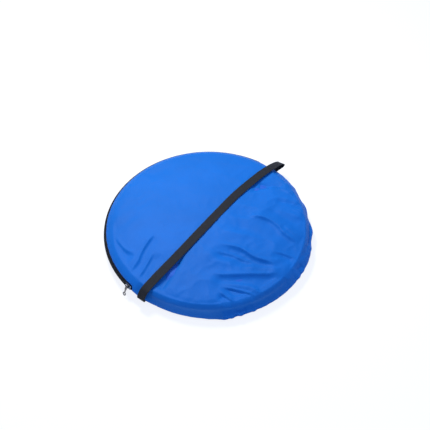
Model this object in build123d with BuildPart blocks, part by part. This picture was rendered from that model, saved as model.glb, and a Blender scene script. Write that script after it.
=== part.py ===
"""A twist-fold ice fishing shelter, packed flat in its round zipped carry case.

The case is a lens of cloth about 600 mm across. Its rim is a sewn seam on the -Y half and a coil zip on the
+Y half, and the part of the cover behind the zip folds up as a flap. Inside lie the four wall hoops, each
coiled in three turns, the folded cloth, the windows and the anchor pouch.

Frame: millimetres, +Z up, the origin in the middle of the flat underside, +X along the carry strap and +Y
towards the zipped mouth.
"""

import os
from math import asin, atan2, cos, degrees, hypot, pi, radians, sin, sqrt, tan

from build123d import *

# Case
seam_radius = 299.0  # where the base and the cover meet
seam_height = 31.0
base_flat_radius = 240.0  # the flat of the underside
crown_height = 70.0
shoulder_radius = 255.0  # where the flat crown turns into the shoulder
shoulder_height = 59.0
cloth = 1.2  # thickness of the case cloth with its lining
binding_width = 12.0
binding_thickness = 1.0

# Mouth
fold_line = 62.0  # the flap folds up along X at this distance from the middle
body_gap = 0.6  # between the flap and the fixed cover
window_foot = 28.0  # the base cloth stops this high along the zip
window_head = 40.5  # and the cover starts this high

# Zip
zip_from = 7.2  # degrees round the rim, counter-clockwise from +X
zip_to = 172.8
zip_radius = 296.6  # the middle of the chain
zip_height = 35.0
zip_slope = 54.0  # degrees from level, across the chain
chain_half = 3.8  # half the width of the closed chain
chain_gap = 1.8  # room between the two rows for the slider's post
coil_thickness = 1.8
tape_thickness = 0.6
tape_mid = -0.9  # the middle of the tape, along the outward normal
stop_length = 0.6  # degrees

# Slider and pull
slider_angle = 170.6  # closed, at the end of the zip
slider_length = 15.0
plate_front = 6.4  # half widths of the upper plate
plate_rear = 5.5
lower_front = 5.4
lower_rear = 5.0
plate_thickness = 1.4
plate_inner = 1.6  # from the middle of the chain to each plate
flange_inner = 4.3
flange_foot = -0.2
bridge_height = 5.5  # the bridge's middle line above the middle of the chain
bridge_half = 5.2
bridge_bar = 0.95  # radius
eye_clearance = 0.10
eye_wall = 0.9
eye_length = 4.0
pull_length = 36.0
pull_thickness = 1.3
pull_ring = 5.75  # radius of the finger end
pull_hole = 2.5
pull_neck = 2.0
pull_shoulder = 3.6

# Carry strap
strap_width = 25.0
strap_thickness = 1.6
strap_bend = 4.5
strap_aside = -6.0  # it is sewn a little off the middle, away from the zip

# Folded shelter
wire_radius = 1.6
hem_inner = 1.75
hem_outer = 2.3
ferrule_radius = 2.2
ferrule_length = 24.0
hem_setback = 14.0  # the hem stays open this far each side of the joint
hoop_turns = 3
points_per_turn = 16
strand_reach = 6.0  # the strands lie this far from the middle of the coil, across
strand_rise = 3.0  # and this far up and down
hoop_radii = [267.0, 275.0, 275.5, 266.5]
hoop_floor = 14.7
hoop_pitch = 10.9

layer_radius = 250.0
layer_floor = 2.0
layer_height = 7.6
layer_gap = 0.4
pane_size = (300.0, 230.0)
pane_thickness = 0.3

pouch_size = (240.0, 90.0, 14.6)
pouch_wall = 0.8
anchor_count = 4
anchor_length = 210.0
anchor_spacing = 20.0
anchor_rod = 3.0  # radius
anchor_tip = 14.0
anchor_thread = 5.0
anchor_pitch = 12.0
anchor_ridges = 6
anchor_eye = 9.0

across = (-cos(radians(zip_slope)), sin(radians(zip_slope)))  # up the slope of the zip, as (radius, height)
outward = (sin(radians(zip_slope)), cos(radians(zip_slope)))

os.makedirs("parts", exist_ok=True)


def save(part, name):
    """Label a finished piece and write it as its own node."""
    part.label = name
    export_step(part, f"parts/{name}.step")


def radial_plane(angle):
    """The upright plane through Z at an angle round the rim: local X is the radius and local Y is up."""
    a = radians(angle)
    return Plane(origin=(0, 0, 0), x_dir=(cos(a), sin(a), 0), z_dir=(sin(a), -cos(a), 0))


def zip_plane(angle):
    """The plane of the chain at an angle: local X along it, local Y up the slope, local Z outwards."""
    a = radians(angle)
    return Plane(
        origin=(zip_radius * cos(a), zip_radius * sin(a), zip_height),
        x_dir=(-sin(a), cos(a), 0),
        z_dir=(outward[0] * cos(a), outward[0] * sin(a), outward[1]),
    )


def on_zip(u, n):
    """A point of the zip's section, u up the slope and n outwards, as (radius, height)."""
    return (zip_radius + across[0] * u + outward[0] * n, zip_height + across[1] * u + outward[1] * n)


def circle_end(start, heading, end):
    """Centre and radius of the arc that leaves start along heading (degrees) and reaches end."""
    normal = (sin(radians(heading)), -cos(radians(heading)))
    w = (start[0] - end[0], start[1] - end[1])
    radius = -(w[0] ** 2 + w[1] ** 2) / (2 * (w[0] * normal[0] + w[1] * normal[1]))
    return (start[0] + radius * normal[0], start[1] + radius * normal[1]), radius


seam = (seam_radius, seam_height)
crown_radius = (shoulder_radius**2 + (crown_height - shoulder_height) ** 2) / (2 * (crown_height - shoulder_height))
crown_fall = -degrees(asin(shoulder_radius / crown_radius))  # the heading of the crown where the shoulder starts
shoulder_centre, shoulder_bend = circle_end((shoulder_radius, shoulder_height), crown_fall, seam)
base_centre, base_bend = circle_end((base_flat_radius, 0), 0, seam)
base_bend = abs(base_bend)


def cover_height(r, depth=0.0):
    """Height of the cover at a radius, depth below its outer face."""
    if r <= shoulder_radius:
        return crown_height - crown_radius + sqrt((crown_radius - depth) ** 2 - r**2)
    return shoulder_centre[1] + sqrt((shoulder_bend - depth) ** 2 - (r - shoulder_centre[0]) ** 2)


# ---- Case: base, cover and flap ----

with BuildPart() as base_panel:
    with BuildSketch(Plane.XZ):
        with BuildLine():
            Line((0, 0), (base_flat_radius, 0))
            TangentArc((base_flat_radius, 0), seam, tangent=(1, 0))
            offset(amount=cloth, side=Side.LEFT)
        make_face()
    revolve(axis=Axis.Z)
    split(bisect_by=Plane.XY.offset(seam_height), keep=Keep.BOTTOM)
    with BuildSketch(radial_plane(zip_from)):
        with BuildLine():
            Polyline((285, window_foot), (310, window_foot), (310, 45), (285, 45), close=True)
        make_face()
    revolve(axis=Axis.Z, revolution_arc=zip_to - zip_from, mode=Mode.SUBTRACT)
save(base_panel.part, "case_base_panel")


with BuildPart() as cover:
    with BuildSketch(Plane.XZ):
        with BuildLine():
            crown = RadiusArc((0, crown_height), (shoulder_radius, shoulder_height), crown_radius)
            TangentArc((shoulder_radius, shoulder_height), seam, tangent=crown % 1)
            offset(amount=cloth, side=Side.RIGHT)
        make_face()
    revolve(axis=Axis.Z)
    split(bisect_by=Plane.XY.offset(seam_height), keep=Keep.TOP)
    with BuildSketch(radial_plane(zip_from)):
        with BuildLine():
            Polyline((280, 20), (310, 20), (310, window_head), (280, window_head), close=True)
        make_face()
    revolve(axis=Axis.Z, revolution_arc=zip_to - zip_from, mode=Mode.SUBTRACT)

with BuildPart() as top_panel:
    add(cover.part)
    split(bisect_by=Plane.XZ.offset(-(fold_line - body_gap / 2)), keep=Keep.TOP)
save(top_panel.part, "case_top_panel")

with BuildPart() as flap:
    add(cover.part)
    split(bisect_by=Plane.XZ.offset(-(fold_line + body_gap / 2)), keep=Keep.BOTTOM)
save(flap.part, "case_flap")

# The seam of the closed half is bound on the inside.
with BuildPart() as binding:
    with BuildSketch(radial_plane(zip_to + 0.6)):
        with Locations((seam_radius - 2.6 - binding_width / 2, seam_height)):
            Rectangle(binding_width, binding_thickness)
    revolve(axis=Axis.Z, revolution_arc=360 - zip_to + zip_from - 1.2)
save(binding.part, "rim_seam_binding")


# ---- Zip ----

fold_angle = degrees(asin((fold_line + body_gap / 2 + 1.2) / zip_radius))  # the flap's share of the zip starts here
fixed_angle = degrees(asin((fold_line - body_gap / 2 - 1.2) / zip_radius))


def zip_strip(points, thickness, start, arc):
    """A strip of tape round the rim: its section follows points, given as (u, n)."""
    with BuildPart() as strip:
        with BuildSketch(radial_plane(start)):
            with BuildLine():
                Polyline(*[on_zip(u, n) for u, n in points])
                offset(amount=thickness / 2, side=Side.BOTH)
            make_face()
        revolve(axis=Axis.Z, revolution_arc=arc)
    return strip.part


def zip_row(side, start, arc):
    """One row of the coil, on one side (-1 lower, 1 upper) of the slider's path."""
    middle = side * (chain_gap / 2 + chain_half) / 2
    with BuildPart() as row:
        with BuildSketch(radial_plane(start)):
            with Locations(on_zip(middle, coil_thickness / 2 + tape_mid + tape_thickness / 2)):
                Rectangle(chain_half - chain_gap / 2, coil_thickness, rotation=180 - zip_slope)
        revolve(axis=Axis.Z, revolution_arc=arc)
    return row.part


lower_tape_path = [(-chain_gap / 2, tape_mid), (-6.9, tape_mid), (-6.5, -3.7), (-8.1, -8.4)]
upper_tape_path = [(chain_gap / 2, tape_mid), (6.0, tape_mid), (8.2, -2.4), (12.0, -2.9), (16.0, -3.8)]
row_from = zip_from + 0.7
row_to = zip_to - 0.7

save(zip_strip(lower_tape_path, tape_thickness, zip_from, zip_to - zip_from), "zip_tape_lower")
save(zip_row(-1, row_from, row_to - row_from), "zip_coil_lower")
save(zip_strip(upper_tape_path, tape_thickness, fold_angle, 180 - 2 * fold_angle), "zip_tape_upper")
save(zip_row(1, fold_angle, 180 - 2 * fold_angle), "zip_coil_upper")

# Short lengths of the upper tape and row stay on the fixed cover at both ends, under the parked slider.
with BuildPart() as tape_ends:
    add(zip_strip(upper_tape_path, tape_thickness, zip_from, fixed_angle - zip_from))
    add(zip_strip(upper_tape_path, tape_thickness, 180 - fixed_angle, zip_to - 180 + fixed_angle))
save(tape_ends.part, "zip_tape_upper_ends")

with BuildPart() as row_ends:
    add(zip_row(1, row_from, fixed_angle - row_from))
    add(zip_row(1, 180 - fixed_angle, row_to - 180 + fixed_angle))
save(row_ends.part, "zip_coil_upper_ends")

with BuildPart() as stops:
    for start in (zip_from + 0.02, row_to + 0.08):
        with BuildSketch(radial_plane(start)):
            with Locations(on_zip(0, coil_thickness / 2 + tape_mid + tape_thickness / 2)):
                Rectangle(2 * chain_half, coil_thickness, rotation=180 - zip_slope)
        revolve(axis=Axis.Z, revolution_arc=stop_length)
save(stops.part, "zip_end_stops")


# ---- Slider and pull ----

slider_plane = zip_plane(slider_angle)


def plate_outline(front, rear):
    """Corners of a slider plate, wider at the end that faces the end of the zip."""
    half = slider_length / 2
    return [(-half, -rear), (half, -front), (half, front), (-half, rear)]


with BuildPart() as slider:
    with BuildSketch(slider_plane.offset(plate_inner)) as upper_plate:
        with BuildLine():
            Polyline(*plate_outline(plate_front, plate_rear), close=True)
        make_face()
        fillet(upper_plate.vertices(), 2.2)
    extrude(amount=plate_thickness)
    with BuildSketch(slider_plane.offset(flange_foot)) as flanges:
        with BuildLine():
            Polyline(*plate_outline(plate_front, plate_rear), close=True)
        make_face()
        fillet(flanges.vertices(), 2.2)
        Rectangle(2 * slider_length, 2 * flange_inner, mode=Mode.SUBTRACT)
    extrude(amount=plate_inner - flange_foot + plate_thickness / 2)
    with BuildSketch(slider_plane.offset(-plate_inner - plate_thickness)) as lower_plate:
        with BuildLine():
            Polyline(*plate_outline(lower_front, lower_rear), close=True)
        make_face()
        fillet(lower_plate.vertices(), 2.2)
    extrude(amount=plate_thickness)
    with BuildSketch(slider_plane.offset(-plate_inner - plate_thickness / 2)):
        with Locations((slider_length / 2 - 3.2, 0)):
            SlotOverall(4.6, 1.0)
    extrude(amount=2 * plate_inner + plate_thickness)
    bridge_plane = Plane(slider_plane.origin, x_dir=slider_plane.x_dir, z_dir=-slider_plane.y_dir)
    with BuildLine(bridge_plane) as arch:
        FilletPolyline(
            (-bridge_half, plate_inner + 0.4),
            (-bridge_half, bridge_height),
            (bridge_half, bridge_height),
            (bridge_half, plate_inner + 0.4),
            radius=1.3,
        )
    with BuildSketch(Plane(arch.line @ 0, z_dir=arch.line % 0)):
        Circle(bridge_bar)
    sweep()
save(slider.part, "slider_body")

# The pull hangs from the bridge and leans on the lower edge of the slider.
lean = degrees(atan2(bridge_height - plate_inner - plate_thickness, plate_rear + 0.4))
lean -= degrees(asin(pull_thickness / 2 / hypot(bridge_height - plate_inner - plate_thickness, plate_rear + 0.4)))
lean -= 2.0
hang = radians(lean)
pull_down = -cos(hang) * slider_plane.y_dir - sin(hang) * slider_plane.z_dir
pull_face = -sin(hang) * slider_plane.y_dir + cos(hang) * slider_plane.z_dir
# Local Y of this plane runs down the pull and local X lies along the bridge.
pull_plane = Plane(
    origin=slider_plane.from_local_coords((0, 0, bridge_height)),
    x_dir=-slider_plane.x_dir,
    z_dir=pull_face,
)
eye_outer = bridge_bar + eye_clearance + eye_wall

with BuildPart() as pull:
    with BuildSketch(pull_plane.offset(-pull_thickness / 2)) as tab:
        with BuildLine():
            Polyline(
                (-eye_length / 2, eye_outer - 0.5),
                (-pull_shoulder, 6.5),
                (-pull_shoulder, 13.0),
                (-pull_neck, 18.0),
                (-pull_neck, pull_length - pull_ring),
                (pull_neck, pull_length - pull_ring),
                (pull_neck, 18.0),
                (pull_shoulder, 13.0),
                (pull_shoulder, 6.5),
                (eye_length / 2, eye_outer - 0.5),
                close=True,
            )
        make_face()
        with Locations((0, pull_length - pull_ring)):
            Circle(pull_ring)
            Circle(pull_hole, mode=Mode.SUBTRACT)
    extrude(amount=pull_thickness)
    with BuildSketch(Plane(pull_plane.origin, x_dir=pull_plane.y_dir, z_dir=pull_plane.x_dir)):
        Circle(eye_outer)
    extrude(amount=eye_length / 2, both=True)
    with BuildSketch(Plane(pull_plane.origin, x_dir=pull_plane.y_dir, z_dir=pull_plane.x_dir)):
        Circle(bridge_bar + eye_clearance)
    extrude(amount=eye_length, both=True, mode=Mode.SUBTRACT)
save(pull.part, "pull_tab")
print("pull pivot, mm", [round(value, 3) for value in pull_plane.origin])
print("pull axis", [round(-value, 5) for value in slider_plane.x_dir])


# ---- Carry strap ----

# Sewn into the rim at both ends, tight over the crown, with a slack loop past the rim at the far end.
contact = 175.0
lift = strap_thickness / 2 + 0.05
strap_bow = crown_radius + lift  # the strap's middle line follows the crown out to the contact
strap_slope = contact / sqrt(strap_bow**2 - contact**2)
strap_apex = crown_height - crown_radius + strap_bow**2 / sqrt(strap_bow**2 - contact**2)


def strap_line(x):
    """Height of the straight stretches of the strap, which leave the crown and bridge the shoulders."""
    return strap_apex - abs(x) * strap_slope


strap_route = [
    (-299.8, seam_height),
    (-305.0, seam_height - 0.5),
    (-303.5, 41.0),
    (-287.0, strap_line(287.0) - 1.5),
    (-262.0, strap_line(262.0)),
    (0, strap_apex),
    (262.0, strap_line(262.0)),
    (298.0, 56.5),
    (328.0, 48.0),
    (328.5, 38.0),
    (299.8, seam_height),
]
strap_radii = [2.5, 9.0, 22.0, 200.0, strap_bow, 200.0, 60.0, strap_bend, strap_bend]

with BuildPart() as strap:
    with BuildSketch(Plane.XZ.offset(-strap_width / 2 - strap_aside)):
        with BuildLine():
            FilletPolyline(*strap_route, radius=strap_radii)
            offset(amount=strap_thickness / 2, side=Side.BOTH)
        make_face()
    extrude(amount=strap_width)
save(strap.part, "carry_strap")


# ---- Folded shelter: wall hoops in their hems ----

# Each wall has one closed hoop of spring wire, twisted into three turns. The strands wander round the section
# of the coil by a third of a turn for every turn of the hoop, so that the wire closes on itself.
point_count = hoop_turns * points_per_turn


def hoop_path(radius, height, setback):
    """Points of the closed hoop, open by the setback each side of its joint."""
    corner_radius = radius / cos(pi / points_per_turn) ** 0.5
    points = []
    for k in range(point_count):
        angle = 2 * pi * (k + 0.5) / points_per_turn
        round_coil = angle / hoop_turns
        r = corner_radius + strand_reach * cos(round_coil)
        points.append(Vector(r * cos(angle), r * sin(angle), height + strand_rise * sin(round_coil)))
    joint = (points[-1] + points[0]) / 2
    along = (points[0] - points[-1]).normalized()
    return [joint + along * setback, *points, joint - along * setback], joint, along


def tube_along(points, outer, inner=0.0):
    """A round wire, or a tube, along a route of short runs and large arcs."""
    run = (points[3] - points[2]).length
    turn = radians((points[3] - points[2]).get_angle(points[4] - points[3]))
    bend = 0.45 * run / tan(turn / 2)
    # The first and last runs are short, so their corners are tighter.
    end_run = (points[1] - points[0]).length
    end_bend = min(bend, 0.8 * end_run / tan(turn / 2))
    radii = [end_bend] + [bend] * (len(points) - 4) + [end_bend]
    with BuildPart() as tube:
        with BuildLine() as route:
            FilletPolyline(*points, radius=radii)
        with BuildSketch(Plane(route.line @ 0, z_dir=route.line % 0)):
            Circle(outer)
            if inner:
                Circle(inner, mode=Mode.SUBTRACT)
        sweep()
    return tube.part


for number, radius in enumerate(hoop_radii, start=1):
    height = hoop_floor + (number - 1) * hoop_pitch
    wire_route, joint, along = hoop_path(radius, height, 0.2)
    save(tube_along(wire_route, wire_radius), f"wall_hoop_{number}")
    save(tube_along(hoop_path(radius, height, hem_setback)[0], hem_outer, hem_inner), f"wall_hem_{number}")
    with BuildPart() as ferrule:
        with BuildSketch(Plane(joint - along * ferrule_length / 2, z_dir=along)):
            Circle(ferrule_radius)
            Circle(wire_radius + 0.02, mode=Mode.SUBTRACT)
        extrude(amount=ferrule_length)
    save(ferrule.part, f"hoop_ferrule_{number}")


# ---- Folded shelter: cloth, windows, pouch and anchors ----

layer_names = ["snow_skirt", "wall_cloth_1", "wall_cloth_2", "wall_cloth_3", "wall_cloth_4", "roof_cloth"]

for number, layer_name in enumerate(layer_names):
    level = layer_floor + number * (layer_height + layer_gap)
    with BuildPart() as layer:
        with BuildSketch(Plane.XZ) as layer_section:
            with Locations((layer_radius / 2, level + layer_height / 2)):
                Rectangle(layer_radius, layer_height)
            fillet(layer_section.vertices().group_by(Axis.X)[-1], 0.45 * layer_height)
        revolve(axis=Axis.Z)
    save(layer.part, layer_name)
    if layer_name.startswith("wall_cloth"):
        with BuildPart() as pane:
            with BuildSketch(Plane.XY.offset(level + layer_height + (layer_gap - pane_thickness) / 2)):
                RectangleRounded(*pane_size, 30)
            extrude(amount=pane_thickness)
        save(pane.part, layer_name.replace("wall_cloth", "window_pane"))

pack_top = layer_floor + len(layer_names) * (layer_height + layer_gap)
pouch_middle = pack_top + pouch_size[2] / 2

with BuildPart() as pouch:
    with Locations((0, 0, pouch_middle)):
        Box(*pouch_size)
    fillet(pouch.edges(), 2 * pouch_wall)
    with Locations((0, 0, pouch_middle)):
        Box(*[length - 2 * pouch_wall for length in pouch_size], mode=Mode.SUBTRACT)
save(pouch.part, "anchor_pouch")

with BuildPart() as anchors:
    for number in range(anchor_count):
        place = (0, (number - (anchor_count - 1) / 2) * anchor_spacing, pouch_middle)
        with BuildSketch(Plane(place)) as screw:
            with BuildLine():
                profile = [(-anchor_length / 2, 0), (-anchor_length / 2 + anchor_tip, anchor_rod)]
                for ridge in range(anchor_ridges):
                    start = profile[-1][0]
                    profile.append((start + 0.4 * anchor_pitch, anchor_thread))
                    profile.append((start + anchor_pitch, anchor_rod))
                profile.append((anchor_length / 2 - 2 * anchor_eye + 2, anchor_rod))
                profile.append((anchor_length / 2 - 2 * anchor_eye + 2, 0))
                Polyline(*profile, close=True)
            make_face()
        revolve(axis=Axis(place, (1, 0, 0)))
        with BuildSketch(Plane(place)):
            with Locations((anchor_length / 2 - anchor_eye, 0)):
                Circle(anchor_eye)
                Circle(anchor_eye - 2 * anchor_rod + 1, mode=Mode.SUBTRACT)
        extrude(amount=anchor_rod - 0.5, both=True)
save(anchors.part, "ice_anchors")
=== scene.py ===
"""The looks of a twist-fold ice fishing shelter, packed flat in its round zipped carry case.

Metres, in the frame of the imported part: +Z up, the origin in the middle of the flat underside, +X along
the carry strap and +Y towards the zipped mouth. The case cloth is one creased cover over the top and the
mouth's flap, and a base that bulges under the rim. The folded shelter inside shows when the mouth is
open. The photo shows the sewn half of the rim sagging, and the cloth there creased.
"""

from math import atan2, cos, pi, radians, sin, sqrt

import bmesh
import bpy
import numpy as np
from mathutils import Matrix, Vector


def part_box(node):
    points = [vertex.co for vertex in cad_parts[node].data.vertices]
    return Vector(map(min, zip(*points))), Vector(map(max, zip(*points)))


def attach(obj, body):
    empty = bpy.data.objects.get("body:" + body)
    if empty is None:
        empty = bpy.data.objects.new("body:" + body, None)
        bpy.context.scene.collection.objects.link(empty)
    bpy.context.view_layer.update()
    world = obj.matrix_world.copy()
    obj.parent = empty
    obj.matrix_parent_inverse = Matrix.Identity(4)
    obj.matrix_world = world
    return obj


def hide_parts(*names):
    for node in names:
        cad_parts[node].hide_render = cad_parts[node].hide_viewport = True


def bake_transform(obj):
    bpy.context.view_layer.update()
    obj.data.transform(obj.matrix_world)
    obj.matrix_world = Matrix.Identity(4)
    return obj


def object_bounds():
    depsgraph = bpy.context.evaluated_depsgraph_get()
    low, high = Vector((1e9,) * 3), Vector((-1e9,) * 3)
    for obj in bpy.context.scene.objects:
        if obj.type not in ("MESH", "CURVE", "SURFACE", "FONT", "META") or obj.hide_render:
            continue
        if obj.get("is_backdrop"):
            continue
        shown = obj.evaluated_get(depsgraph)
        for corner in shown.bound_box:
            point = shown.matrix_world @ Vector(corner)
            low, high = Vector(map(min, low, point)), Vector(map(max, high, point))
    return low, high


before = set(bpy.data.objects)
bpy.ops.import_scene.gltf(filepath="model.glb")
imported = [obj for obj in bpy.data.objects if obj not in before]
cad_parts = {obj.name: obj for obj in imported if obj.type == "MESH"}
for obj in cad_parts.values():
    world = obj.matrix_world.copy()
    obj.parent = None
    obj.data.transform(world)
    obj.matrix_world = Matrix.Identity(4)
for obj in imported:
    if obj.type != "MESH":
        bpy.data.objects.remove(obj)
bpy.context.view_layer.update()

# ---- Sizes, from the frame and the part's own proportions ----

seam_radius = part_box("case_base_panel")[1][0]
seam_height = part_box("case_base_panel")[1][2]
crown_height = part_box("case_top_panel")[1][2]
window_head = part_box("case_flap")[0][2]  # the cover stops here above the zip
shoulder_radius, shoulder_height = 0.255, 0.059
base_flat_radius = 0.240
zip_from, zip_to = radians(7.2), radians(172.8)
zip_radius, zip_height, zip_slope = 0.2966, 0.035, radians(54)
window_foot = 0.028
cloth_thickness = 0.0007
hoops_edge, hoops_top_edge = 0.2830, 0.2735  # the hems stay inside these radii, lower down and at the top
window_edge = radians(2.0)  # the cloth's edge leaves the seam for the zip over this angle
sag_edge = 0.1  # the rim's sag begins over this angle, beside the zip
innermost = 0.004  # where a round cloth's first ring of points lies, as a share of its length

across = (-cos(zip_slope), sin(zip_slope))  # up the slope of the zip, as (radius, height)
outward = (sin(zip_slope), cos(zip_slope))


def on_zip(u, n):
    """A point of the zip's section, u up the slope and n outwards, as (radius, height)."""
    return zip_radius + across[0] * u + outward[0] * n, zip_height + across[1] * u + outward[1] * n


# ---- Mesh helpers ----


def smoothstep(x, low=0.0, high=1.0):
    t = np.clip((np.asarray(x, float) - low) / (high - low), 0, 1)
    return t * t * (3 - 2 * t)


def new_object(name, points, faces, material, smooth=True, uv=None):
    """A mesh object from arrays. uv holds one pair for each point."""
    mesh = bpy.data.meshes.new(name)
    mesh.from_pydata(np.asarray(points, float).tolist(), [], [list(map(int, f)) for f in faces])
    mesh.polygons.foreach_set("use_smooth", [smooth] * len(mesh.polygons))
    if uv is not None:
        layer = mesh.uv_layers.new(name="cloth")
        corners = np.zeros(len(mesh.loops), np.int32)
        mesh.loops.foreach_get("vertex_index", corners)
        layer.data.foreach_set("uv", np.asarray(uv, np.float32)[corners].ravel())
    mesh.materials.append(material)
    mesh.validate()
    mesh.update()
    piece = bpy.data.objects.new(name, mesh)
    bpy.context.scene.collection.objects.link(piece)
    return piece


def grid_faces(rows, columns, wrap_columns=False, start=0):
    """Quads over a grid of points stored row by row. Its numbers begin at start."""
    j = np.arange(columns if wrap_columns else columns - 1)
    i, j = np.meshgrid(np.arange(rows - 1), j, indexing="ij")
    k, m = i + 1, (j + 1) % columns
    quads = [i * columns + j, i * columns + m, k * columns + m, k * columns + j]
    return start + np.stack([q.ravel() for q in quads], axis=1)


def grid_object(name, points, material, wrap_columns=False, uv=None):
    """A mesh object from a grid of points, closed round each row where wrap_columns says so."""
    rows, columns = points.shape[:2]
    faces = grid_faces(rows, columns, wrap_columns)
    flat_uv = None if uv is None else uv.reshape(-1, 2)
    return new_object(name, points.reshape(-1, 3), faces, material, uv=flat_uv)


def solidify(piece, thickness, offset=-1.0):
    modifier = piece.modifiers.new("thickness", "SOLIDIFY")
    modifier.thickness = thickness
    modifier.offset = offset
    return piece


def frames_along(line, up=(0, 0, 1)):
    """Tangent, side and normal at each point of a line."""
    tangent = np.gradient(line, axis=0)
    tangent /= np.linalg.norm(tangent, axis=1)[:, None]
    side = np.cross(tangent, np.broadcast_to(np.array(up, float), tangent.shape))
    side /= np.linalg.norm(side, axis=1)[:, None]
    return tangent, side, np.cross(side, tangent)


def tube_points(line, radius, sides):
    """Rings of points round a line: a grid of len(line) by sides."""
    _, side, normal = frames_along(line)
    turn = np.linspace(0, 2 * pi, sides, endpoint=False)
    radius = np.broadcast_to(np.asarray(radius, float), (len(line),))[:, None, None]
    ring = np.cos(turn)[None, :, None] * side[:, None] + np.sin(turn)[None, :, None] * normal[:, None]
    return line[:, None] + radius * ring


def capped_tubes(name, lines, radius, sides, material):
    """Several round tubes with closed ends, joined in one mesh."""
    points, faces = [], []
    for line in lines:
        start = sum(len(p) for p in points)
        rings = tube_points(np.asarray(line, float), radius, sides)
        points.append(rings.reshape(-1, 3))
        faces += grid_faces(len(line), sides, wrap_columns=True, start=start).tolist()
        faces.append(list(range(start + sides - 1, start - 1, -1)))
        faces.append(list(range(start + (len(line) - 1) * sides, start + len(line) * sides)))
    return new_object(name, np.concatenate(points), faces, material)


def smooth_line(points, count):
    """A smooth curve through a few points (centripetal Catmull-Rom), as count points."""
    p = np.asarray(points, float)
    p = np.vstack([2 * p[0] - p[1], p, 2 * p[-1] - p[-2]])
    at = np.linspace(0, len(p) - 3, count)
    k = np.minimum(at.astype(int), len(p) - 4)
    t = (at - k)[:, None]
    a, b, c, d = p[k], p[k + 1], p[k + 2], p[k + 3]
    return 0.5 * (2 * b + (c - a) * t + (2 * a - 5 * b + 4 * c - d) * t**2 + (3 * b - a - 3 * c + d) * t**3)


def value_noise(x, y, cell, seed):
    """Smooth noise from -1 to 1 over the plan, with cells of the given size."""
    size = 64  # cells until it repeats
    table = np.random.default_rng(seed).uniform(-1, 1, (size, size))
    x, y = x / cell + 1000, y / cell + 1000
    i, j = np.floor(x).astype(int), np.floor(y).astype(int)
    s, t = smoothstep(x - i), smoothstep(y - j)
    a, b = table[i % size, j % size], table[(i + 1) % size, j % size]
    c, d = table[i % size, (j + 1) % size], table[(i + 1) % size, (j + 1) % size]
    return (a * (1 - s) + b * s) * (1 - t) + (c * (1 - s) + d * s) * t


# ---- Materials ----


class Nodes:
    """A short way to build a material's node tree."""

    def __init__(self, name):
        self.material = bpy.data.materials.new(name)
        self.material.use_nodes = True
        self.tree = self.material.node_tree
        self.shader = self.tree.nodes["Principled BSDF"]

    def add(self, kind, inputs=(), **settings):
        node = self.tree.nodes.new(kind)
        for key, value in settings.items():
            setattr(node, key, value)
        for socket, value in dict(inputs).items():
            if isinstance(value, bpy.types.NodeSocket):
                self.tree.links.new(value, node.inputs[socket])
            else:
                node.inputs[socket].default_value = value
        return node

    def set(self, **values):
        for socket, value in values.items():
            self.shader.inputs[socket.replace("_", " ")].default_value = value

    def link(self, source, socket):
        self.tree.links.new(source, self.shader.inputs[socket])

    def math(self, operation, a, b=0.0):
        return self.add("ShaderNodeMath", {0: a, 1: b}, operation=operation).outputs[0]

    def noise(self, place, scale, detail=3.0):
        node = self.add("ShaderNodeTexNoise", {"Vector": place, "Scale": scale, "Detail": detail})
        return node.outputs["Fac"]

    def wave(self, place, scale, direction):
        node = self.add("ShaderNodeTexWave", {"Vector": place, "Scale": scale}, bands_direction=direction)
        return node.outputs["Fac"]

    def mix(self, share, a, b):
        node = self.add("ShaderNodeMix", data_type="RGBA")
        for socket, value in ((0, share), (6, a), (7, b)):
            if isinstance(value, bpy.types.NodeSocket):
                self.tree.links.new(value, node.inputs[socket])
            else:
                node.inputs[socket].default_value = value
        return node.outputs[2]

    def ramp(self, source, low, high):
        """source spread from low..high to 0..1."""
        node = self.add("ShaderNodeMapRange", {"Value": source, "From Min": low, "From Max": high})
        return node.outputs[0]

    def spread(self, source, low, high):
        """source spread from 0..1 to low..high."""
        node = self.add("ShaderNodeMapRange", {"Value": source, "To Min": low, "To Max": high})
        return node.outputs[0]

    def bump(self, height, distance, strength=1.0, normal=None):
        inputs = {"Height": height, "Distance": distance, "Strength": strength}
        if normal is not None:
            inputs["Normal"] = normal
        return self.add("ShaderNodeBump", inputs).outputs[0]


def rgba(colour, gain=1.0):
    return tuple(min(1.0, c * gain) for c in colour) + (1.0,)


def wave_scale(pitch):
    """The scale at which a wave texture repeats at a pitch: its phase is 20 times the place."""
    return 2 * pi / 20 / pitch


def woven(name, colour, pitch, roughness, sheen, relief=0.00006, dust=0.0, uv=True):
    """Woven cloth: warp and weft at a real pitch, slubs, and slow changes of tone."""
    n = Nodes(name)
    if uv:
        place = n.add("ShaderNodeUVMap", uv_map="cloth").outputs[0]
    else:
        place = n.add("ShaderNodeTexCoord").outputs["Object"]
    bands = wave_scale(pitch)
    warp = n.wave(place, bands, "X")
    weft = n.wave(place, bands, "Y")
    threads = n.math("MAXIMUM", warp, weft)
    slow = n.noise(place, 7.0, 4.0)
    slub = n.noise(place, 900.0, 2.0)
    tone = n.mix(n.ramp(slow, 0.3, 0.7), rgba(colour, 0.93), rgba(colour, 1.07))
    tone = n.mix(n.math("MULTIPLY", n.math("SUBTRACT", 1.0, threads), 0.35), tone, rgba(colour, 0.6))
    if dust:
        dusty = n.math("MULTIPLY", n.ramp(n.noise(place, 30.0, 6.0), 0.55, 0.8), dust)
        tone = n.mix(dusty, tone, (0.6, 0.6, 0.6, 1))
    n.link(tone, "Base Color")
    n.set(Specular_IOR_Level=0.14, Sheen_Weight=sheen, Sheen_Roughness=0.4)
    n.link(n.spread(slub, roughness - 0.06, roughness + 0.06), "Roughness")
    fine = n.bump(n.math("ADD", threads, n.math("MULTIPLY", slub, 0.6)), relief)
    wrinkle = n.bump(n.noise(place, 45.0, 5.0), 0.0012, 0.35, fine)
    n.link(wrinkle, "Normal")
    return n.material


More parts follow.
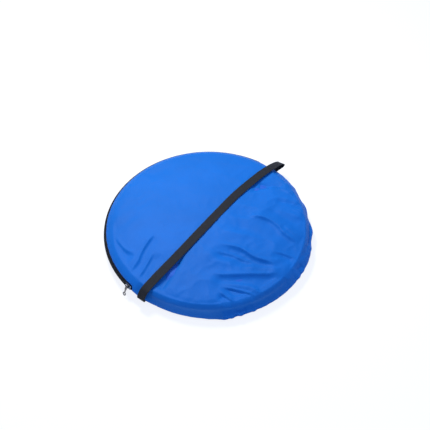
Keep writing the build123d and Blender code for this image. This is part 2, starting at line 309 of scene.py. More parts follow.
def webbing(name, colour):
    """Polypropylene webbing: ribs across it and cords along it, worn lighter in places."""
    n = Nodes(name)
    place = n.add("ShaderNodeUVMap", uv_map="cloth").outputs[0]
    ribs = n.wave(place, wave_scale(0.0022), "X")
    cords = n.wave(place, wave_scale(0.0017), "Y")
    height = n.math("ADD", n.math("MULTIPLY", ribs, 0.8), n.math("MULTIPLY", cords, 0.5))
    fuzz = n.noise(place, 1500.0, 2.0)
    tone = n.mix(n.ramp(height, 0.1, 1.2), rgba(colour, 0.45), rgba(colour, 1.5))
    worn = n.math("MULTIPLY", n.ramp(n.noise(place, 60.0, 5.0), 0.5, 0.8), 0.25)
    tone = n.mix(worn, tone, rgba(colour, 3.0))
    n.link(tone, "Base Color")
    n.set(Roughness=0.7, Sheen_Weight=0.05, Specular_IOR_Level=0.25)
    n.link(n.bump(n.math("ADD", height, n.math("MULTIPLY", fuzz, 0.3)), 0.00025), "Normal")
    return n.material


def metal(name, colour, roughness, scratch=0.25):
    """Plated or bare metal, with small scratches in its gloss."""
    n = Nodes(name)
    place = n.add("ShaderNodeTexCoord").outputs["Object"]
    wear = n.noise(place, 260.0, 6.0)
    tone = n.mix(n.ramp(wear, 0.4, 0.7), rgba(colour, 0.8), rgba(colour, 1.15))
    n.link(tone, "Base Color")
    n.set(Metallic=1.0)
    low, high = roughness * (1 - scratch), roughness * (1 + 2 * scratch)
    n.link(n.spread(wear, low, high), "Roughness")
    n.link(n.bump(n.noise(place, 1200.0, 3.0), 0.00003), "Normal")
    return n.material


def nylon(name, colour):
    """Smooth plastic wire or thread."""
    n = Nodes(name)
    place = n.add("ShaderNodeTexCoord").outputs["Object"]
    n.link(n.mix(n.noise(place, 400.0), rgba(colour, 0.7), rgba(colour, 1.4)), "Base Color")
    n.set(Roughness=0.38, Specular_IOR_Level=0.45)
    n.link(n.bump(n.noise(place, 2500.0), 0.00002), "Normal")
    return n.material


def film(name):
    """Clear, slightly rippled window film."""
    n = Nodes(name)
    place = n.add("ShaderNodeTexCoord").outputs["Object"]
    n.link(n.mix(n.noise(place, 12.0), (0.82, 0.88, 0.9, 1), (0.9, 0.94, 0.95, 1)), "Base Color")
    n.set(Transmission_Weight=0.85, Roughness=0.12, IOR=1.53)
    n.link(n.bump(n.noise(place, 30.0), 0.0004), "Normal")
    return n.material


case_blue = (0.0045, 0.140, 0.495)
black = (0.014, 0.013, 0.014)
case_cloth = woven("case_cloth", case_blue, 0.0008, 0.56, 0.015)
base_cloth = woven("base_cloth", (0.003, 0.126, 0.5), 0.0009, 0.56, 0.04, dust=0.05)
shelter_cloth = woven("shelter_cloth", (0.02, 0.12, 0.5), 0.0011, 0.6, 0.3)
hem_cloth = woven("hem_cloth", (0.02, 0.02, 0.022), 0.001, 0.65, 0.35)
skirt_cloth = woven("skirt_cloth", (0.03, 0.03, 0.033), 0.0011, 0.6, 0.3)
tape_cloth = woven("tape_cloth", black, 0.0008, 0.6, 0.2)
strap_cloth = webbing("strap_webbing", (0.010, 0.0092, 0.0095))
thread_blue = nylon("blue_thread", (0.03, 0.2, 0.75))
coil_nylon = nylon("coil_nylon", (0.012, 0.012, 0.013))
dark_nickel = metal("dark_nickel", (0.16, 0.155, 0.16), 0.2)
nickel = metal("nickel", (0.62, 0.61, 0.61), 0.22)
spring_steel = metal("spring_steel", (0.42, 0.42, 0.43), 0.32)
zinc = metal("zinc_plate", (0.62, 0.62, 0.64), 0.35)
clear_film = film("window_film")


def finish_node(node, material):
    """Gives a CAD node its material."""
    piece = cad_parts[node]
    piece.data.materials.clear()
    piece.data.materials.append(material)


# ---- Case: the shape of the cloth ----


def arc_between(start, heading, end):
    """Centre and radius of the arc that leaves start along heading and reaches end."""
    normal = (sin(heading), -cos(heading))
    w = (start[0] - end[0], start[1] - end[1])
    radius = -(w[0] ** 2 + w[1] ** 2) / (2 * (w[0] * normal[0] + w[1] * normal[1]))
    return (start[0] + radius * normal[0], start[1] + radius * normal[1]), radius


rise = crown_height - shoulder_height
crown_radius = (shoulder_radius**2 + rise**2) / (2 * rise)
crown_fall = atan2(-shoulder_radius, sqrt(crown_radius**2 - shoulder_radius**2))
shoulder = (shoulder_radius, shoulder_height)
seam = (seam_radius, seam_height)
shoulder_centre, shoulder_bend = arc_between(shoulder, crown_fall, seam)
base_bend = abs(arc_between((base_flat_radius, 0), 0, seam)[1])
crown_length = crown_radius * abs(crown_fall)
shoulder_start = atan2(shoulder_height - shoulder_centre[1], shoulder_radius - shoulder_centre[0])


def shoulder_angle(height):
    """Where the shoulder's arc is at a height."""
    return np.arcsin((height - shoulder_centre[1]) / shoulder_bend)


def cover_profile(s):
    """(radius, height) on the cover at a distance s along the cloth from the crown."""
    s = np.asarray(s, float)
    flat = np.minimum(s, crown_length) / crown_radius
    bend = shoulder_start - np.maximum(s - crown_length, 0) / shoulder_bend
    on_crown = s <= crown_length
    shoulder_r = shoulder_centre[0] + shoulder_bend * np.cos(bend)
    shoulder_z = shoulder_centre[1] + shoulder_bend * np.sin(bend)
    radius = np.where(on_crown, crown_radius * np.sin(flat), shoulder_r)
    height = np.where(on_crown, crown_height - crown_radius * (1 - np.cos(flat)), shoulder_z)
    return radius, height


def cover_length(height):
    """Distance along the cloth from the crown to a height on the shoulder."""
    return crown_length + (shoulder_start - shoulder_angle(height)) * shoulder_bend


# The sewn half of the rim sags: (degrees, radius, height, share of the hanging shape, its crease's radius and
# height), in mm. The zipped half stays true to the zip's circle, where the slider runs.
rim_shape = [
    (-187, 299, 31, 0.0, 282, 48),
    (-179, 299, 29, 0.2, 283, 48),
    (-171, 291, 17, 0.9, 283, 47),
    (-156, 290, 13, 1.0, 278, 50),
    (-146, 290, 11, 1.0, 275, 53),
    (-141, 291, 9, 1.0, 276, 52),
    (-137.5, 293, 11, 1.0, 279, 51),
    (-135.8, 295.5, 13, 1.0, 281, 50),
    (-133.4, 301.5, 17, 0.9, 267, 56),
    (-130.5, 300.5, 18.5, 0.9, 267, 56),
    (-126, 299.5, 21, 0.9, 267, 56),
    (-121, 299, 21, 0.9, 267, 56),
    (-118, 298, 20, 1.0, 270, 55),
    (-113.5, 296.5, 18.5, 1.0, 268, 56),
    (-107, 296.5, 18.5, 1.0, 276, 52),
    (-102, 297, 19, 1.0, 281, 48.5),
    (-96, 297.5, 20, 1.0, 276, 52),
    (-93.6, 297.8, 21, 1.0, 274.5, 53.5),
    (-91.5, 298.2, 22.5, 0.8, 288, 42),
    (-87, 299, 25, 0.0, 290, 40),
    (-75, 299, 27, 0.0, 280, 50),
    (-66, 297, 28, 0.0, 280, 50),
    (-60, 292.5, 29, 0.2, 280, 50),
    (-53, 296, 29, 0.0, 280, 50),
    (-43, 289, 28, 0.25, 280, 50),
    (-36, 293.5, 30, 0.0, 280, 50),
    (-29, 291, 29, 0.2, 280, 50),
    (-19, 297, 31, 0.0, 280, 50),
    (-6, 300, 31, 0.0, 282, 49),
    (5, 299, 31, 0.0, 282, 48),
]


def rim_at(theta):
    """The rim at each angle: radius, height, hanging share, crease radius and height, in metres."""
    degrees_round = np.where(np.degrees(theta) > 90, np.degrees(theta) - 360, np.degrees(theta))
    knots = np.array(rim_shape, float)
    k = np.clip(np.searchsorted(knots[:, 0], degrees_round) - 1, 0, len(knots) - 2)
    t = smoothstep((degrees_round - knots[k, 0]) / (knots[k + 1, 0] - knots[k, 0]))[..., None]
    row = knots[k, 1:] * (1 - t) + knots[k + 1, 1:] * t
    return row[..., 0] / 1000, row[..., 1] / 1000, row[..., 2], row[..., 3] / 1000, row[..., 4] / 1000


def on_sewn_half(theta):
    """1 along the sewn half of the rim and 0 along the zip."""
    after_start = smoothstep(theta, zip_from - sag_edge, zip_from)
    return 1 - after_start * (1 - smoothstep(theta, zip_to, zip_to + sag_edge))


# Soft creases, in mm: points in the plan, height (below 0 for a valley), widths left and right of the line.
ridges = [
    ([(-190, 205), (-150, 190), (-90, 186)], -2.2, 16, 20),
    ([(20, 262), (60, 236), (110, 226)], -1.8, 14, 18),
    ([(-92, -50), (-84, -105), (-58, -160)], 2.4, 14, 12),
    ([(-156, -136), (-118, -196), (-103, -226), (-104, -250), (-116, -276)], 4.0, 9, 7),
    ([(-70, -160), (-44, -198), (-24, -226), (-12, -262)], 3.5, 13, 8),
    ([(-24, -176), (0, -216), (28, -240)], 3.0, 9, 10),
    ([(26, -50), (46, -120), (50, -200)], -2.8, 17, 18),
    ([(146, -96), (146, -150), (152, -215)], -3.0, 15, 13),
    ([(206, -20), (213, -38), (217, -58)], -4.0, 6, 8),
    ([(180, -92), (202, -140), (216, -180)], -3.0, 8, 8),
]

# Folds have a crisp edge on their line and fall away on its right, in mm: points, depth, width, and whether the
# last end stays deep.
folds = [
    # beside the zip
    ([(-278, 64), (-232, 68), (-195, 81), (-158, 89), (-126, 92)], 4.2, 9, False),
    ([(-280, 30), (-236, 39), (-205, 46), (-176, 56)], 3.6, 8, False),
    ([(-200, 178), (-211, 150), (-217, 118), (-211, 86)], 4.5, 13, False),
    # the middle of the sewn half
    ([(-56, -54), (-32, -98), (-20, -132), (-20, -172), (-8, -213), (0, -244)], 6.0, 12, False),
    ([(-76, -74), (-54, -114), (-46, -147), (-34, -190)], 4.0, 9, False),
    # the front
    ([(-140, -112), (-116, -147), (-82, -187), (-47, -226), (-8, -270)], 7.5, 17, False),
    ([(-152, -158), (-134, -196), (-124, -224), (-119, -240), (-115, -258)], 9.5, 6, False),
    ([(-164, -166), (-168, -200), (-162, -222), (-148, -246)], 8.5, 6, False),
    ([(-132, -222), (-144, -244), (-160, -262)], 6.0, 7, True),
    ([(-186, -172), (-199, -198), (-208, -216), (-214, -230)], 6.0, 6, True),
    ([(24, -196), (44, -232), (54, -278)], 4.5, 8, True),
    ([(120, -236), (150, -230), (190, -206)], 4.0, 8, False),
    ([(232, -104), (247, -134), (252, -166)], 4.0, 7, True),
]

# Sharp creases are crisp on their line from both sides, in mm: points, height (below 0 for a valley), widths
# left and right of the line.
sharp = [
    # beside the strap, at both of its ends
    ([(-110, -14), (-166, -22), (-187, -25), (-218, -32), (-254, -37), (-290, -39)], -11.0, 7, 14),
    ([(160, -24), (199, -37), (230, -62), (240, -96)], -9.5, 20, 6),
    # the long ridge on the right and the small ones beyond it
    ([(84, -70), (97, -97), (110, -132), (107, -166), (99, -187), (98, -218), (102, -246)], 9.0, 24, 4.5),
    ([(122, -170), (119, -189), (117, -208), (114, -240)], 3.2, 10, 3.5),
    ([(232, -72), (234, -96), (232, -123), (216, -164)], 3.4, 10, 4),
    ([(184, -146), (192, -170), (196, -190), (196, -212)], 3.0, 9, 3.5),
    ([(168, -160), (175, -184), (179, -204), (180, -226)], 3.0, 8, 3.5),
]


def from_line(x, y, points):
    """Distance from a line in the plan, signed to be positive on its left, and the share along it."""
    line = smooth_line([(a / 1000, b / 1000) for a, b in points], 24)
    best = np.full(x.shape, 1e9)
    side, share = np.zeros(x.shape), np.zeros(x.shape)
    for k in range(len(line) - 1):
        (ax, ay), (bx, by) = line[k], line[k + 1]
        ux, uy = bx - ax, by - ay
        t = np.clip(((x - ax) * ux + (y - ay) * uy) / (ux * ux + uy * uy), 0, 1)
        away = np.hypot(x - ax - t * ux, y - ay - t * uy)
        nearer = away < best
        best = np.where(nearer, away, best)
        side = np.where(nearer, np.sign(ux * (y - ay) - uy * (x - ax)), side)
        share = np.where(nearer, (k + t) / (len(line) - 1), share)
    return best * side, share


def die_out(share):
    """A crease fades in over its first quarter and out over its last."""
    return smoothstep(share, 0, 0.25) * (1 - smoothstep(share, 0.75, 1))


def creases(x, y):
    """Height added to the cover by its creases, folds and slow billows."""
    total = np.zeros(x.shape)
    for points, height, left, right in ridges:
        away, share = from_line(x, y, points)
        width = np.where(away > 0, left, right) / 1000
        total += height / 1000 * die_out(share) * np.exp(-((away / width) ** 2))
    for points, depth, width, deep_end in folds:
        away, share = from_line(x, y, points)
        fade = die_out(share / 2 if deep_end else share)
        right = np.maximum(-away, 0) / (width / 1000)
        total -= depth / 1000 * fade * right * np.exp(1 - right)
        total += 0.32 * depth / 1000 * fade * np.exp(-((away / (width / 2000)) ** 2))
    for points, height, left, right in sharp:
        away, share = from_line(x, y, points)
        width = np.where(away > 0, left, right) / 1000
        total += height / 1000 * die_out(share) * np.exp(-np.hypot(away, 0.0008) / width)
    # slow billows
    total += 0.0016 * value_noise(x, y, 0.12, 3) + 0.0008 * value_noise(x + 0.4 * y, y * 0.6, 0.04, 5)
    # small ridges where the noise crosses 0, stronger on the sewn half
    crumpled = np.abs(value_noise(x + 0.5 * y, 0.7 * y - 0.2 * x, 0.06, 7))
    crumpled += 0.45 * np.abs(value_noise(0.7 * x - 0.5 * y, y + 0.3 * x, 0.024, 9))
    total -= 0.0029 * crumpled * (0.5 + 0.7 * smoothstep(-y, -0.1, 0.1))
    return total


pucker_height, pucker_reach = 0.0008, 0.016


def puckers(theta, to_rim):
    """Small gathers that run in from the seam and die out, as a swelling of the cloth."""
    wave = np.sin(theta * 61 + 2.1 * np.sin(theta * 5)) + 0.7 * np.sin(theta * 97 + 1.3 * np.sin(theta * 7))
    strong = 0.35 + 0.65 * np.clip(np.sin(theta * 3 + 1.1) + np.sin(theta * 8), 0, 1.4)
    return pucker_height * strong * wave * np.exp(-np.maximum(to_rim, 0) / pucker_reach)


theta_count, cover_rings = 540, 92
theta = np.linspace(-pi, pi, theta_count, endpoint=False)


def beside_zip(theta):
    """1 along the zip and 0 along the seam, with a short step between them."""
    past_start = smoothstep(theta, zip_from - window_edge, zip_from)
    before_end = 1 - smoothstep(theta, zip_to, zip_to + window_edge)
    return past_start * before_end


def cover_end(theta):
    """Length of the cover's cloth from the crown to its edge, at the zip or at the seam."""
    height = seam_height + (window_head - seam_height) * beside_zip(theta)
    return cover_length(height)


def over_hoops(r, z):
    """The cover pushed out and up where a crease would cut into a hoop's hem."""
    beside = smoothstep(z, 0.010, 0.016) * (1 - smoothstep(z, 0.041, 0.046)) * smoothstep(r, 0.26, 0.27)
    r = r + beside * soft_above(hoops_edge - r)
    radii = [0.250, 0.256, 0.260, hoops_top_edge, hoops_edge, hoops_edge + 0.001]
    hem_tops = [0.0505, 0.0515, 0.0538, 0.0538, 0.043, 0.0]
    return r, z + soft_above(np.interp(r, radii, hem_tops) - z)


def soft_above(excess, blur=0.0006):
    """max(excess, 0), rounded off."""
    return 0.5 * (excess + np.sqrt(excess**2 + blur**2))


def cover_points(theta, share):
    """Points of the cover at angles and shares of the cloth's length, both arrays of one shape."""
    end = cover_end(theta)
    s = share * end
    r, z = cover_profile(s)
    rim_r, rim_z, hanging, crease_r, crease_z = rim_at(theta)
    sewn = on_sewn_half(theta)
    reach = smoothstep(r, 0.262, seam_radius) * sewn
    r = r + reach * (rim_r - seam_radius)
    z = z + reach * (rim_z - seam_height)
    t = np.clip((s - crown_length) / (end - crown_length), 0, 1)
    above, below = 2 * t, 2 * t - 1  # shares of the way down to the crease, and from it to the rim
    above_r = shoulder_radius + (crease_r - shoulder_radius) * above
    above_z = shoulder_height + (crease_z - shoulder_height) * above**1.8
    hang_r = np.where(t < 0.5, above_r, crease_r + (rim_r - crease_r) * below)
    hang_z = np.where(t < 0.5, above_z, crease_z + (rim_z - crease_z) * below)
    pull = hanging * sewn * smoothstep(t, 0, 0.15)
    r, z = r + (hang_r - r) * pull, z + (hang_z - z) * pull
    x, y = r * np.cos(theta), r * np.sin(theta)
    calm = 1 - smoothstep(share, 0.93, 1.0) * 0.9  # the creases die out at the rim
    calm = calm * (1 - (1 - sewn) * smoothstep(r, 0.262, 0.274))  # and sooner beside the zip
    r, z = over_hoops(r, z + creases(x, y) * calm)
    swell = puckers(theta, seam_radius - r) * (0.35 + 0.65 * sewn)
    r = r + swell
    z = z + 0.6 * swell
    return np.stack([r * np.cos(theta), r * np.sin(theta), z], axis=-1), s


share = np.linspace(0, 1, cover_rings) ** 0.72
share[0] = innermost
T, S = np.meshgrid(theta, share, indexing="ij")


def disc_uv(lengths, T):
    """Cloth coordinates of a round cloth, spread flat from its middle."""
    return np.stack([lengths * np.cos(T), lengths * np.sin(T)], axis=-1).transpose(1, 0, 2)


def close_middle(piece, ring):
    """Fills the small hole in the middle of a round cloth. ring holds the numbers of the points round it."""
    mesh = bmesh.new()
    mesh.from_mesh(piece.data)
    mesh.verts.ensure_lookup_table()
    face = mesh.faces.new([mesh.verts[k] for k in ring])
    face.smooth = True
    bmesh.ops.recalc_face_normals(mesh, faces=mesh.faces)
    mesh.to_mesh(piece.data)
    mesh.free()


points, lengths = cover_points(T, S)
cover_uv = disc_uv(lengths, T)
cover = grid_object("case_cover", points.transpose(1, 0, 2), case_cloth, wrap_columns=True, uv=cover_uv)
inner_ring = range(theta_count)
close_middle(cover, inner_ring)
solidify(cover, cloth_thickness)
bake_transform(cover)
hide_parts("case_top_panel", "case_flap")


def base_points(theta, share):
    """Points of the base, from its middle out to the seam or to the zip."""
    height = seam_height + (window_foot - seam_height) * beside_zip(theta)
    turn = np.arccos(1 - height / base_bend)
    s = share * (base_flat_radius + turn * base_bend)
    angle = np.maximum(s - base_flat_radius, 0) / base_bend
    r = np.minimum(s, base_flat_radius) + base_bend * np.sin(angle)
    z = base_bend * (1 - np.cos(angle))
    rim_r, rim_z, *_ = rim_at(theta)
    sewn = on_sewn_half(theta)
    reach = smoothstep(r, base_flat_radius + 0.004, seam_radius) * sewn
    r, z = r + reach * (rim_r - seam_radius), z + reach * (rim_z - seam_height)
    swell = puckers(theta, seam_radius - r) * (0.35 + 0.65 * sewn)
    r = r + swell
    lift = 0.0009 * value_noise(r * np.cos(theta), r * np.sin(theta), 0.05, 11) ** 2
    z = np.maximum(z - 0.5 * swell + lift * smoothstep(r, 0.0, 0.2), 0.0)
    return np.stack([r * np.cos(theta), r * np.sin(theta), z], axis=-1), s


base_share = np.concatenate([np.linspace(innermost, 0.70, 22), np.linspace(0.72, 1, 44)])
T, S = np.meshgrid(theta, base_share, indexing="ij")
points, lengths = base_points(T, S)
base_grid = points.transpose(1, 0, 2)[:, ::-1]  # turned round, so that its faces look out
base_uv = disc_uv(lengths, T)[:, ::-1]
base = grid_object("case_base", base_grid, base_cloth, wrap_columns=True, uv=base_uv)
close_middle(base, inner_ring)
solidify(base, cloth_thickness)
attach(base, "case")
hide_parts("case_base_panel")


# ---- Zip ----


def ring_strip(name, section, start, end, material, thickness, step=0.0035):
    """A strip of tape round the rim; its section is a list of (u, n) across the zip."""
    count = max(8, int((end - start) * zip_radius / step))
    turn = np.linspace(start, end, count)
    line = smooth_line(section, 4 * len(section))
    along = np.concatenate([[0], np.cumsum(np.linalg.norm(np.diff(line, axis=0), axis=1))])
    radius, height = on_zip(line[:, 0], line[:, 1])
    points = np.stack(
        [
            np.outer(np.cos(turn), radius),
            np.outer(np.sin(turn), radius),
            np.broadcast_to(height, (count, len(height))),
        ],
        axis=-1,
    )
    uv = np.stack(np.broadcast_arrays(turn[:, None] * zip_radius, along[None]), axis=-1)
    piece = grid_object(name, points, material, uv=uv)
    solidify(piece, thickness, 0.0)
    return piece


lower_section = [
    (-0.0007, -0.0009),
    (-0.0045, -0.0009),
    (-0.0068, -0.0010),
    (-0.0066, -0.0037),
    (-0.0082, -0.0084),
]
upper_section = [
    (0.0007, -0.0009),
    (0.0058, -0.0009),
    (0.0082, -0.0022),
    (0.0120, -0.0028),
    (0.0160, -0.0038),
]
tape_thickness = 0.0005

lower_tape = ring_strip("lower_zip_tape", lower_section, zip_from, zip_to, tape_cloth, tape_thickness)
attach(lower_tape, "case")
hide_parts("zip_tape_lower")
upper_tape = ring_strip("upper_zip_tape", upper_section, zip_from, zip_to, tape_cloth, tape_thickness)
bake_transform(upper_tape)
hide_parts("zip_tape_upper", "zip_tape_upper_ends")

coil_pitch, coil_wire = 0.0016, 0.00034  # the distance between loops, and the nylon wire's radius
loop_middle, loop_reach = 0.00165, 0.00205  # across the zip, from its middle line
loop_lift, loop_height = 0.0003, 0.0009  # outwards from the tapes
coil_steps, coil_sides = 10, 5


def coil_row(name, side):
    """One row of the coil: loops of nylon wire that reach past the middle, between the other row's loops."""
    row_from, row_to = zip_from + radians(0.7), zip_to - radians(0.7)
    count = int((row_to - row_from) * zip_radius / coil_pitch)
    steps = np.arange(count * coil_steps) / coil_steps
    phase = 2 * pi * steps
    shift = 0.5 if side > 0 else 0.0
    turn = row_from + (steps + shift) * coil_pitch / zip_radius
    u = side * (loop_middle - loop_reach * np.cos(phase))
    n = loop_lift + loop_height * np.sin(phase)
    radius, height = on_zip(u, n)
    line = np.stack([radius * np.cos(turn), radius * np.sin(turn), height], axis=-1)
    rings = tube_points(line, coil_wire, coil_sides)
    return grid_object(name, rings, coil_nylon, wrap_columns=True)


lower_coil = coil_row("lower_zip_coil", -1)
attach(lower_coil, "case")
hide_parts("zip_coil_lower")
upper_coil = coil_row("upper_zip_coil", 1)
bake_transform(upper_coil)
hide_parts("zip_coil_upper", "zip_coil_upper_ends")

finish_node("zip_end_stops", nickel)
finish_node("slider_body", dark_nickel)
finish_node("pull_tab", dark_nickel)


# ---- Seams ----


stitch_length, stitch_gap, stitch_lift = 0.0028, 0.0009, 0.00025
thread_radius, thread_sides = 0.00022, 5
seam_gap = radians(2.5)  # the seam's stitches end this far from the zip


def stitch_lines(path):
    """Short raised stitches along a path of points with normals."""
    points, normals = path
    along = np.concatenate([[0], np.cumsum(np.linalg.norm(np.diff(points, axis=0), axis=1))])
    lines = []
    for start in np.arange(0, along[-1] - stitch_length, stitch_length + stitch_gap):
        at = start + stitch_length * np.array([0, 0.2, 0.5, 0.8, 1.0])
        p = np.stack([np.interp(at, along, points[:, k]) for k in range(3)], axis=1)
        q = np.stack([np.interp(at, along, normals[:, k]) for k in range(3)], axis=1)
        bow = np.array([-0.6, 0.7, 1.0, 0.7, -0.6])[:, None] * stitch_lift
        lines.append(p + q * bow)
    return lines


def cover_row(start, end, share_at):
    """A path on the cover at a share of its cloth's length, with its normals."""
    turn = np.linspace(start, end, int(abs(end - start) * 260))
    here, _ = cover_points(turn, np.full(turn.shape, share_at))
    inner, _ = cover_points(turn, np.full(turn.shape, share_at - 0.01))
    slope = here - inner
    tangent = np.gradient(here, axis=0)
    normal = np.cross(slope, tangent)
    normal /= np.linalg.norm(normal, axis=1)[:, None]
    normal *= np.sign(normal[:, 2:3] + 0.3 * (here[:, 0:1] * normal[:, 0:1] + here[:, 1:2] * normal[:, 1:2]))
    return here, normal


mouth_row = cover_row(zip_from, zip_to, share_at=0.992)
seam_row = cover_row(zip_to + seam_gap, zip_from + 2 * pi - seam_gap, share_at=0.985)
mouth_stitches = capped_tubes(
    "mouth_stitches", stitch_lines(mouth_row), thread_radius, thread_sides, thread_blue
)
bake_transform(mouth_stitches)
seam_stitches = capped_tubes(
    "seam_stitches", stitch_lines(seam_row), thread_radius, thread_sides, thread_blue
)
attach(seam_stitches, "case")

binding_thickness = 0.0008
binding_turn = np.linspace(zip_to + radians(0.6), 2 * pi + zip_from - radians(0.6), 500)
rim_r, rim_z, *_ = rim_at((binding_turn + pi) % (2 * pi) - pi)
reaches = np.array([-0.0035, -0.007, -0.011, -0.0145])
binding_radius = rim_r[:, None] + reaches[None]
binding_x = binding_radius * np.cos(binding_turn)[:, None]
binding_y = binding_radius * np.sin(binding_turn)[:, None]
binding_z = np.broadcast_to(np.maximum(rim_z, 0.002)[:, None], binding_radius.shape)
points = np.stack([binding_x, binding_y, binding_z], axis=-1)
uv = np.stack(np.broadcast_arrays(binding_turn[:, None] * seam_radius, reaches[None]), axis=-1)
binding = grid_object("seam_binding", points, tape_cloth, uv=uv)
solidify(binding, binding_thickness, 0.0)
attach(binding, "case")
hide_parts("rim_seam_binding")


# ---- Carry strap ----

strap_width, strap_thickness = 0.025, 0.0016
strap_path = [  # x, y, height and roll in degrees of the strap's middle line
    (-0.2985, -0.008, 0.031, 0),
    (-0.3045, -0.008, 0.0315, 0),
    (-0.3040, -0.008, 0.0390, 0),
    (-0.2960, -0.008, 0.0500, 0),
    (-0.2790, -0.008, 0.0585, 0),
    (-0.2300, -0.008, 0.0635, 0),
    (-0.1500, -0.008, 0.0672, 0),
    (-0.0500, -0.006, 0.0706, 0),
    (0.0500, -0.003, 0.0706, 0),
    (0.1300, -0.001, 0.0680, 0),
    (0.2200, -0.005, 0.0630, -2),
    (0.2700, -0.010, 0.0592, -5),
    (0.3020, -0.015, 0.0545, -9),
    (0.3190, -0.018, 0.0490, -12),
    (0.3255, -0.019, 0.0430, -13),
    (0.3220, -0.018, 0.0370, -12),
    (0.3110, -0.014, 0.0335, -8),
    (0.2990, -0.010, 0.0315, 0),
]


def strap_grid(width, thickness, count=520, columns=18):
    """The strap as a closed section swept along its path: a grid of points, with its cloth coordinates."""
    line = smooth_line(strap_path, count)
    middle, roll = line[:, :3], np.radians(line[:, 3])
    tangent = np.gradient(middle, axis=0)
    tangent /= np.linalg.norm(tangent, axis=1)[:, None]
    side = np.stack([np.zeros(count), np.cos(roll), np.sin(roll)], axis=1)
    side -= (side * tangent).sum(1)[:, None] * tangent
    side /= np.linalg.norm(side, axis=1)[:, None]
    normal = np.cross(tangent, side)
    along = np.concatenate([[0], np.cumsum(np.linalg.norm(np.diff(middle, axis=0), axis=1))])
    turn = np.linspace(0, 2 * pi, 2 * columns, endpoint=False)
    flat = 0.22  # a rounded bar: the power of the cosine makes its long sides flat
    across_strap = np.sign(np.cos(turn)) * np.abs(np.cos(turn)) ** flat * width / 2
    through = np.sign(np.sin(turn)) * np.abs(np.sin(turn)) ** flat * thickness / 2
    points = middle[:, None] + side[:, None] * across_strap[None, :, None]
    points = points + normal[:, None] * through[None, :, None]
    uv = np.stack(np.broadcast_arrays(along[:, None], across_strap[None]), axis=-1)
    return points, uv


points, uv = strap_grid(strap_width, strap_thickness)
strap = grid_object("webbing_strap", points, strap_cloth, wrap_columns=True, uv=uv)
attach(strap, "case")
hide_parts("carry_strap")


# ---- Folded shelter ----

hoop_turns = 3
strand_reach, strand_rise = 0.006, 0.003  # how far the strands wander in the coil, across and up
hem_radius, hem_sides = 0.0024, 10
frame_hem_radius = 0.0023  # the frame's own hems
box_short = 0.0012  # the strands reach less far at -X, so half the box is about this much narrower
hem_round = 0.0145  # the cloth's length round a hem
hem_gap = radians(3)  # a hem stays open this far each side of its hoop's joint
for number in range(1, 5):
    low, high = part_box(f"wall_hem_{number}")
    middle_height = (low[2] + high[2]) / 2
    coil_radius = (high[0] - low[0]) / 2 - strand_reach - frame_hem_radius + box_short
    turn = np.linspace(hem_gap, 2 * pi * hoop_turns - hem_gap, 900)
    wander = turn / hoop_turns
    gather = 0.00025 * np.sin(turn * 150) + 0.0002 * np.sin(turn * 61 + number)
    radius = coil_radius + strand_reach * np.cos(wander)
    line = np.stack(
        [radius * np.cos(turn), radius * np.sin(turn), middle_height + strand_rise * np.sin(wander)], axis=-1
    )
    rings = tube_points(line, hem_radius + 0.6 * gather, hem_sides)
    sides = np.linspace(0, hem_round, hem_sides, endpoint=False)
    uv = np.stack(np.broadcast_arrays(turn[:, None] * coil_radius, sides[None]), axis=-1)
    hem = grid_object(f"hem_sleeve_{number}", rings, hem_cloth, wrap_columns=True, uv=uv)
    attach(hem, "case")
    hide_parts(f"wall_hem_{number}")
    finish_node(f"wall_hoop_{number}", spring_steel)
    finish_node(f"hoop_ferrule_{number}", zinc)
    finish_node(f"window_pane_{number}", clear_film)


def pleats(x, y, heading, pitch, seed):
    """Overlapping plies, from 0 to 1. Each rises slowly, ends in a rounded edge, wanders and dies out."""
    along = x * cos(heading) + y * sin(heading)
    aside = y * cos(heading) - x * sin(heading)
    wander = 1.6 * value_noise(x, y, 0.17, seed) + 0.5 * value_noise(x, y, 0.06, seed + 1) + 9 * aside**2
    phase = along / pitch + wander
    rise = phase - np.floor(phase)
    size = 0.35 + 0.65 * np.random.default_rng(seed).random(64)[np.floor(phase).astype(int) % 64]
    ply = rise**1.5 * (1 - smoothstep(rise, 0.9, 1.0)) * size
    return ply * smoothstep(value_noise(x, y, 0.12, seed + 2), -0.35, 0.35)


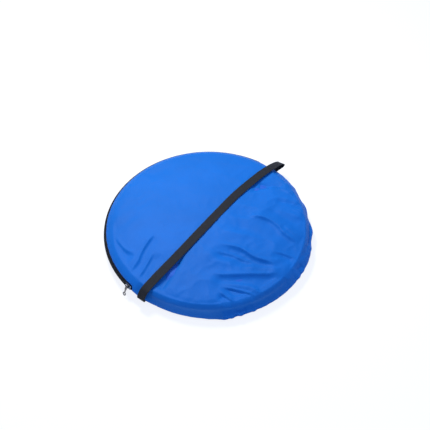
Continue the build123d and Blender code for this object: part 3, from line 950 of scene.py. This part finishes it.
def folded_layer(name, node, material, seed, plies=3, loose=0.0):
    """Cloth folded to a round pad: plies that lap over each other at the edge and, by loose, on top."""
    low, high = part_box(node)
    half = (high[2] - low[2]) / 2
    middle_height = (high[2] + low[2]) / 2
    turn_count = 420 if loose else 240
    most_loose = 0.0085  # the folds on top never rise further than this
    pad_share, edge_room = 0.985, 0.011  # the flat top's share of the radius, and room for the rounded plies
    turn = np.linspace(0, 2 * pi, turn_count, endpoint=False)
    fine = np.concatenate([np.linspace(innermost, 0.9, 110 if loose else 30), np.linspace(0.905, 1.0, 14)])
    coarse = np.concatenate([np.linspace(innermost, 0.9, 20), np.linspace(0.92, 1.0, 7)])
    edge = np.linspace(-pi / 2, pi / 2, 6 * plies + 2)[1:-1]
    wave = 0.006 * value_noise(np.cos(turn) * 0.3, np.sin(turn) * 0.3, 0.08, seed)
    wave += 0.004 * value_noise(np.cos(turn) * 0.3, np.sin(turn) * 0.3, 0.03, seed + 1)
    outer = high[0] - edge_room + wave
    rows = []
    for side, steps in ((-1, coarse), (1, fine[::-1])):
        rings = []
        for share in steps:
            radius = outer * share * pad_share
            x, y = radius * np.cos(turn), radius * np.sin(turn)
            lumps = 0.2 + 0.1 * value_noise(x, y, 0.06, seed + 2)
            height = middle_height + side * half * (0.78 + lumps)
            if side > 0 and loose:
                folds_up = 1.5 * pleats(x, y, 1.9, 0.085, seed + 4) + pleats(x, y, 0.25, 0.06, seed + 8)
                folds_up += 0.5 * (1 + value_noise(x, y, 0.09, seed + 12))
                swollen = most_loose * np.tanh(loose * folds_up / most_loose)
                height = height + swollen * (1 - smoothstep(share, 0.86, 1.0))
            rings.append(np.stack([x, y, height], axis=-1))
        rows += rings
        if side < 0:
            for angle in edge:
                ply = 0.5 + 0.5 * np.cos((angle / (pi / 2)) * pi * plies + 0.6 * np.sin(turn * 5 + seed))
                radius = outer * pad_share + (0.003 + 0.004 * ply) * np.cos(angle)
                z = middle_height + half * 0.9 * np.sin(angle) * np.ones_like(turn)
                rows.append(np.stack([radius * np.cos(turn), radius * np.sin(turn), z], axis=-1))
    points = np.array(rows)
    piece = grid_object(name, points, material, wrap_columns=True, uv=points[:, :, :2] + points[:, :, 2:3])
    close_middle(piece, range(turn_count))
    close_middle(piece, range((len(points) - 1) * turn_count, len(points) * turn_count))
    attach(piece, "case")
    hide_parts(node)


folded_layer("folded_snow_skirt", "snow_skirt", skirt_cloth, 21)
for number in range(1, 5):
    folded_layer(f"folded_wall_{number}", f"wall_cloth_{number}", shelter_cloth, 30 + 7 * number)
folded_layer("folded_roof", "roof_cloth", shelter_cloth, 80, loose=0.0065)

finish_node("anchor_pouch", woven("pouch_oxford", (0.022, 0.022, 0.025), 0.001, 0.65, 0.3, uv=False))
finish_node("ice_anchors", zinc)


# ---- Studio ----

floor_size, floor_height = 40.0, -0.0004
floor_material = Nodes("studio_floor")
floor_material.set(Base_Color=(0.2, 0.2, 0.2, 1), Roughness=0.9)
floor_material.set(Emission_Color=(1, 1, 1, 1), Emission_Strength=0.84)  # keeps the ground white in the shadow
floor_corners = ((-1, -1), (1, -1), (1, 1), (-1, 1))
floor = new_object(
    "studio_floor",
    [(x * floor_size, y * floor_size, floor_height) for x, y in floor_corners],
    [(0, 1, 2, 3)],
    floor_material.material,
    smooth=False,
)
floor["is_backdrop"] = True

world = bpy.data.worlds.new("studio")
bpy.context.scene.world = world
world.use_nodes = True
background = world.node_tree.nodes["Background"]
background.inputs[0].default_value = (0.40, 0.70, 1.38, 1)
background.inputs[1].default_value = 0.5

azimuth, elevation = radians(-51.5), radians(52)
camera_distance = 2.6
# right in the picture, and back from the case to the camera
right = Vector((cos(azimuth), sin(azimuth), 0))
back = Vector((sin(azimuth) * cos(elevation), -cos(azimuth) * cos(elevation), sin(elevation)))


def area_light(name, place, size, power):
    """A round lamp that points at the middle of the case."""
    light = bpy.data.lights.new(name, "AREA")
    light.shape = "DISK"
    light.size = size
    light.energy = power
    lamp = bpy.data.objects.new(name, light)
    lamp.location = place
    lamp.rotation_mode = "QUATERNION"
    lamp.rotation_quaternion = (-Vector(place)).to_track_quat("-Z", "Y")
    bpy.context.scene.collection.objects.link(lamp)


ahead = Vector((-sin(azimuth), cos(azimuth), 0))  # away from the camera, along the ground
area_light("key", -0.4 * right + 0.72 * ahead + Vector((0, 0, 1.45)), size=0.5, power=25.5)
area_light("fill", 1.2 * right - 0.9 * ahead + Vector((0, 0, 2.2)), size=1.6, power=7)

camera_data = bpy.data.cameras.new("camera")
camera_data.lens = 75.5
camera_data.sensor_width = 36
camera_data.shift_x = 0.014
camera_data.shift_y = 0.048
camera = bpy.data.objects.new("camera", camera_data)
camera.location = back * camera_distance
camera.rotation_mode = "QUATERNION"
camera.rotation_quaternion = back.to_track_quat("Z", "Y")
bpy.context.scene.collection.objects.link(camera)
bpy.context.scene.camera = camera
bpy.context.scene.view_settings.view_transform = "Standard"

low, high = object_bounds()
